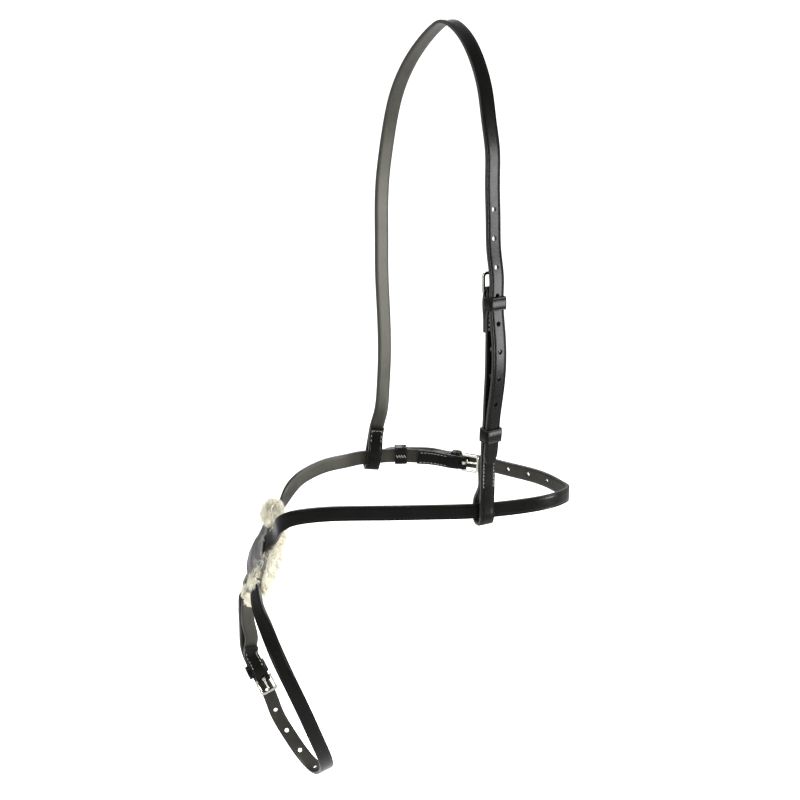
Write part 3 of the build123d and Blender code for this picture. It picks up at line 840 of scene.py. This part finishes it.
def patch(node, centre, half_size, base, thick, softness=0.0, ripple=0.0):
    """A leather patch over the pad: two faces and a rounded rim, draped over what is under it."""
    name = f"{node}_leather"
    rings, spokes = 16, 72
    seeds = [rng.uniform(0, 2 * math.pi) for _ in range(6)]

    def level(y, h, r):
        wave = sum(math.sin(0.21 * (k + 1) * y + seeds[k]) * math.cos(0.17 * (k + 1) * h + seeds[k + 3])
                   for k in range(3)) * ripple
        over = draped(y, h, softness) if softness else 0.0
        return base + over + wave * (1 - r ** 4)

    outward = [(i + 1) / rings for i in range(rings)]
    columns = [(r, thick) for r in outward]
    columns += [(1.012, thick * 0.78), (1.016, thick * 0.5), (1.012, thick * 0.25)]
    columns += [(r, 0) for r in outward[::-1]]
    points = []
    for r, z in columns:
        for j in range(spokes):
            turn = 2 * math.pi * j / spokes
            wobble = 1 + 0.018 * math.sin(3 * turn + seeds[0]) + 0.012 * math.sin(7 * turn + seeds[1])
            y = centre[0] + half_size[0] * r * math.cos(turn) * wobble
            h = centre[1] + half_size[1] * r * math.sin(turn) * wobble
            points.append(pad_point(y, h, level(y, h, min(r, 1)) + z))
    top, last = len(points), (len(columns) - 1) * spokes
    points += [pad_point(*centre, level(*centre, 0) + z) for z in (thick, 0)]
    faces = ring_faces(0, len(columns), spokes)
    kinds = [GRAIN_SIDE] * (rings - 1) * spokes + [PATCH_RIM] * 4 * spokes
    kinds += [PATCH_FLESH] * (len(faces) - len(kinds))
    for j in range(spokes):
        k = (j + 1) % spokes
        faces += [(j, top, k), (last + j, last + k, top + 1)]
        kinds += [GRAIN_SIDE, PATCH_FLESH]
    mesh = mesh_of(name, points, faces, kinds)
    smooth(mesh, 50)
    piece(name, mesh, PATCH_LEATHERS, "noseband", "leather", node)


patch("pad_backing", (0, 0), BACKING_HALF, -3.0, 3.0)
patch("pad_cover", COVER_CENTRE, COVER_HALF, COVER_BASE, COVER_LEATHER, COVER_SOFTNESS, ripple=0.12)
patch("pad_tab", TAB_CENTRE, TAB_HALF, 0.75, 2.3, softness=5.0, ripple=0.1)


def seam(centre, half_size, base, softness, first, last):
    """Stitches every few degrees round an oval on the pad, as lines of points."""
    lines = []
    for angle in range(first, last, 8):
        bow = []
        for step, rise in ((-2.6, -0.3), (-1.2, 0.2), (1.2, 0.2), (2.6, -0.3)):
            turn = math.radians(angle + step)
            y = centre[0] + half_size[0] * math.cos(turn)
            h = centre[1] + half_size[1] * math.sin(turn)
            over = draped(y, h, softness) if softness else 0.0
            bow.append(np.array(pad_point(y, h, base + over + rise)))
        lines.append(bow)
    return lines


backing_seam = [half - 2.3 for half in BACKING_HALF]
cover_seam = [half - 1.6 for half in COVER_HALF]
sew("pad_thread",
    seam((0, 0), backing_seam, 0.0, 0, -100, -10) + seam((0, 0), backing_seam, 0.0, 0, 190, 230)
    + seam(COVER_CENTRE, cover_seam, COVER_BASE + COVER_LEATHER, COVER_SOFTNESS, 0, 359),
    "noseband", "pad_stitches")


class Fleece:
    """The sheepskin: a puffed hide with thousands of short curled locks of wool."""

    RINGS, SPOKES = 18, 64
    HALF_WIDTH, HALF_HEIGHT = 33.5, 40.5
    TOP, DEPTH = -3.1, 10.5          # level of the hide's outer face, and the sheepskin's full thickness

    def __init__(self):
        self.points, self.faces, self.kinds = [], [], []
        self.wave = [rng.uniform(0, 6.28) for _ in range(8)]
        self.add_hide()
        for place in TUFTS:
            self.add_tuft(*place)
        for _ in range(LOCKS):
            self.add_lock_on_hide()

    def lumps(self, y, h):
        across, down = self.wave[:4], self.wave[4:]
        return sum(math.sin(0.23 * (k + 1) * y + across[k]) * math.sin(0.19 * (k + 1) * h + down[k])
                   for k in range(4)) * 0.5

    def surface(self, r, face, turn):
        """A point of the hide; face is 1 on the side with the leather and -1 on the horse's side."""
        y, h = self.HALF_WIDTH * r * math.cos(turn), self.HALF_HEIGHT * r * math.sin(turn)
        puff = 1 - max(0.0, min(1.0, r)) ** 6
        low = self.TOP - self.DEPTH * (0.35 + 0.65 * puff) + self.lumps(y, h)
        off = self.TOP if face == 1 else low
        if -1 < face < 1:
            off = self.TOP + (low - self.TOP) * (1 - face) / 2
        return Vector(pad_point(y, h, off))

    def add_hide(self):
        rings, spokes = self.RINGS, self.SPOKES
        columns = [(i / rings, 1) for i in range(1, rings + 1)]
        columns += [(1 + 0.05 * math.sin(a), math.cos(a)) for a in (0.5, 1.0, 1.57, 2.1, 2.64)]
        columns += [(i / rings, -1) for i in range(rings, 0, -1)]
        self.points += [self.surface(r, face, 2 * math.pi * j / spokes)
                        for r, face in columns for j in range(spokes)]
        middle, last = len(self.points), (len(columns) - 1) * spokes
        self.points += [pad_point(0, 0, self.TOP), pad_point(0, 0, self.TOP - self.DEPTH)]
        self.faces += ring_faces(0, len(columns), spokes)
        self.kinds += [HIDE_SIDE] * (rings - 3) * spokes
        self.kinds += [WOOL_SIDE] * (len(self.faces) - len(self.kinds))
        for j in range(spokes):
            k = (j + 1) % spokes
            self.faces += [(j, middle, k), (last + j, last + k, middle + 1)]
            self.kinds += [HIDE_SIDE, WOOL_SIDE]

    def add_lock(self, root, normal, length, radius):
        """A tapered, curled lock that droops a little at its end."""
        side = normal.cross(Vector((rng.uniform(-1, 1), rng.uniform(-1, 1), rng.uniform(-1, 1)))).normalized()
        curl = normal.cross(side)
        sides, steps = 3, 4
        phase, tight = rng.uniform(0, 6.28), rng.uniform(0.5, 1.5)
        made = tube_faces(len(self.points), steps + 1, sides)
        for i in range(steps + 1):
            t = i / steps
            bend = (side * math.sin(phase + 4.2 * t) + curl * math.cos(phase + 4.2 * t)) * tight * t
            centre = root + normal * (length * (t - 0.25 * t * t)) + bend - UP * 1.2 * t * t
            r = radius * (1 - 0.82 * t)
            for j in range(sides):
                turn = 2 * math.pi * j / sides
                self.points.append(centre + (side * math.cos(turn) + curl * math.sin(turn)) * r)
        self.faces += made
        self.kinds += [WOOL_SIDE] * len(made)

    def add_tuft(self, middle, radii, count, girth):
        """Locks that spread from a place on the pad to the surface of an egg shape round it."""
        for _ in range(count):
            way = Vector([rng.gauss(0, 1) for _ in range(3)]).normalized()
            deep = rng.uniform(0.1, 0.85)
            y, h, off = (m + r * w * deep for m, r, w in zip(middle, radii, way))
            root = Vector(pad_point(y, h, off))
            beyond = Vector(pad_point(*(m + r * w for m, r, w in zip(middle, radii, way))))
            reach = beyond - root
            self.add_lock(root, reach.normalized(), reach.length * rng.uniform(0.9, 1.3),
                          girth * rng.uniform(0.7, 1.3))

    def add_lock_on_hide(self):
        turn = rng.uniform(0, 2 * math.pi)
        kind = rng.random()
        if kind < 0.52:
            r, face = math.sqrt(rng.random()), -1
        elif kind < 0.82:
            r, face = 1.02, rng.uniform(-1, 1)
        else:
            r, face = rng.uniform(0.80, 1.0), 1
        root = self.surface(r, face, turn)
        y, h, off = pad_coordinates(root)
        rim = (Vector(pad_point(y * 1.05, h * 1.05, off)) - root).normalized()
        straight = (Vector(pad_point(y, h, off + 1)) - root).normalized()
        if face == -1:
            normal = -straight + rim * (0.9 * r ** 3)
        elif face == 1:
            normal = straight * rng.uniform(0.3, 0.8) + rim * rng.uniform(0.5, 1.2)
        else:
            normal = rim + straight * rng.uniform(-0.7, 0.8)
        self.add_lock(root, normal.normalized(), rng.uniform(3.0, 6.5), rng.uniform(0.45, 0.85))


def fleece():
    sheepskin = Fleece()
    mesh = mesh_of("sheepskin_fleece", sheepskin.points, sheepskin.faces, sheepskin.kinds)
    mesh.shade_smooth()
    return piece("sheepskin_fleece", mesh, (WOOL, HIDE), "noseband", "sheepskin_wool", "sheepskin")


fleece()


# ---- floor, light and camera ------------------------------------------------------------------
def plain(name, colour, rough):
    s = Shader(name)
    shade = tuple(c * 0.99 for c in colour)
    s.put(Base_Color=s.ramp(s.noise(3), ((0.3, colour), (0.7, shade))), Roughness=rough)
    return s.material


def quad(name, corners, material):
    mesh = bpy.data.meshes.new(name)
    mesh.from_pydata(corners, [], [tuple(range(len(corners)))])
    mesh.materials.append(material)
    obj = bpy.data.objects.new(name, mesh)
    bpy.context.scene.collection.objects.link(obj)
    return obj


FLOOR = cad_box[0][2] - 0.35  # metres; the object hangs free, well above it
SIZE = 300.0                  # metres, so that its edge isn't seen in the photo's view
corners = [(x * SIZE, y * SIZE, FLOOR) for x, y in ((-1, -1), (1, -1), (1, 1), (-1, 1))]
floor = quad("floor", corners, plain("floor_white", (0.93, 0.93, 0.93), 0.8))


def area_light(name, place, target, size, power):
    light = bpy.data.lights.new(name, "AREA")
    light.shape = "RECTANGLE"
    light.size, light.size_y = size
    light.energy = power
    obj = bpy.data.objects.new(name, light)
    obj.location = place
    obj.rotation_euler = (Vector(target) - Vector(place)).to_track_quat("-Z", "Y").to_euler()
    bpy.context.scene.collection.objects.link(obj)


CENTRE = (-0.04, 0.0, -0.35)  # of the whole object
area_light("key", (-1.1, -1.3, 0.7), CENTRE, (0.7, 0.7), 60)
area_light("fill", (1.15, -0.42, -0.35), (-0.05, 0.08, -0.25), (0.35, 0.6), 50)
area_light("back", (-0.4, 1.5, 0.5), CENTRE, (1.0, 0.8), 20)
sky = bpy.data.lights.new("overhead", "SUN")
sky.energy = 1.6
sky.angle = math.radians(50)
bpy.context.scene.collection.objects.link(bpy.data.objects.new("overhead", sky))

world = bpy.data.worlds.new("studio")
world.use_nodes = True
world.node_tree.nodes["Background"].inputs["Color"].default_value = (1, 1, 1, 1)
world.node_tree.nodes["Background"].inputs["Strength"].default_value = 1.0
bpy.context.scene.world = world
bpy.context.scene.view_settings.view_transform = "Standard"

CAMERA_TILT = 17.75           # degrees below level
lens = bpy.data.cameras.new("camera")
lens.sensor_width = 36.0
lens.lens = 60.5
lens.clip_end = 1000
camera = bpy.data.objects.new("camera", lens)
camera.location = (-0.0367, -1.090, 0.0398)
camera.rotation_euler = (math.radians(90 - CAMERA_TILT), 0, 0)
bpy.context.scene.collection.objects.link(camera)
bpy.context.scene.camera = camera
